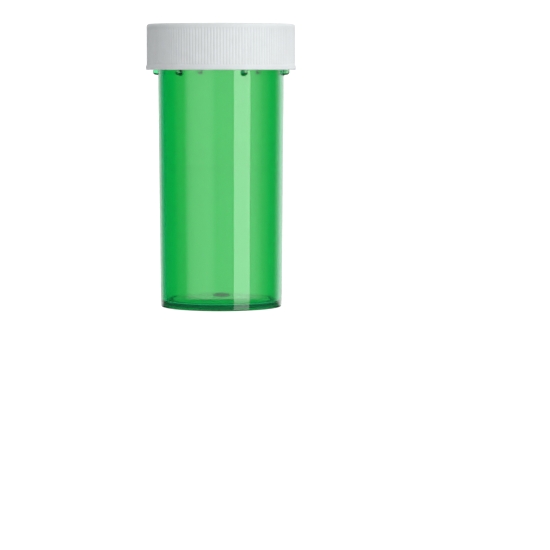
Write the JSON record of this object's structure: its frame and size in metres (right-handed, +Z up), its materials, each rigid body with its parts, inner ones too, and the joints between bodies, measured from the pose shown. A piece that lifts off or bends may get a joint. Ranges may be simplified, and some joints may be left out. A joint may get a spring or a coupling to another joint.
{
  "type": "prescription vial",
  "caption": "Tinted clear medicine vial with locking lugs on its neck, a ribbed push-down-and-turn cap and a spring disc that seals the mouth.",
  "frame": {"origin": "centre of the ring foot, on the surface that the vial stands on", "axes": "+Z up along the vial's axis, towards the cap; -Y is the front and +X is to the right seen from the front"},
  "size_m": [0.039, 0.039, 0.0735],
  "materials": {
    "green_plastic": "clear emerald green polypropylene, polished mould finish",
    "white_plastic": "opaque white polypropylene, fine satin",
    "natural_plastic": "natural milky low-density polyethylene, satin"
  },
  "bodies": {
    "vial": {"vial": "green_plastic"},
    "spring_disc": {"spring_disc": "natural_plastic"},
    "cap": {"cap": "white_plastic"}
  },
  "joints": [
    {"name": "lift_off", "type": "slide", "parent": "vial", "child": "spring_disc", "axis": [0, 0, 1], "range_m": [0, 0.05]},
    {"name": "push_down", "type": "slide", "parent": "spring_disc", "child": "cap", "axis": [0, 0, 1], "range_m": [-0.0012, 0], "stiffness_N_per_m": 12000, "springref_m": 0.0004, "deforming": ["spring_disc"]}
  ]
}
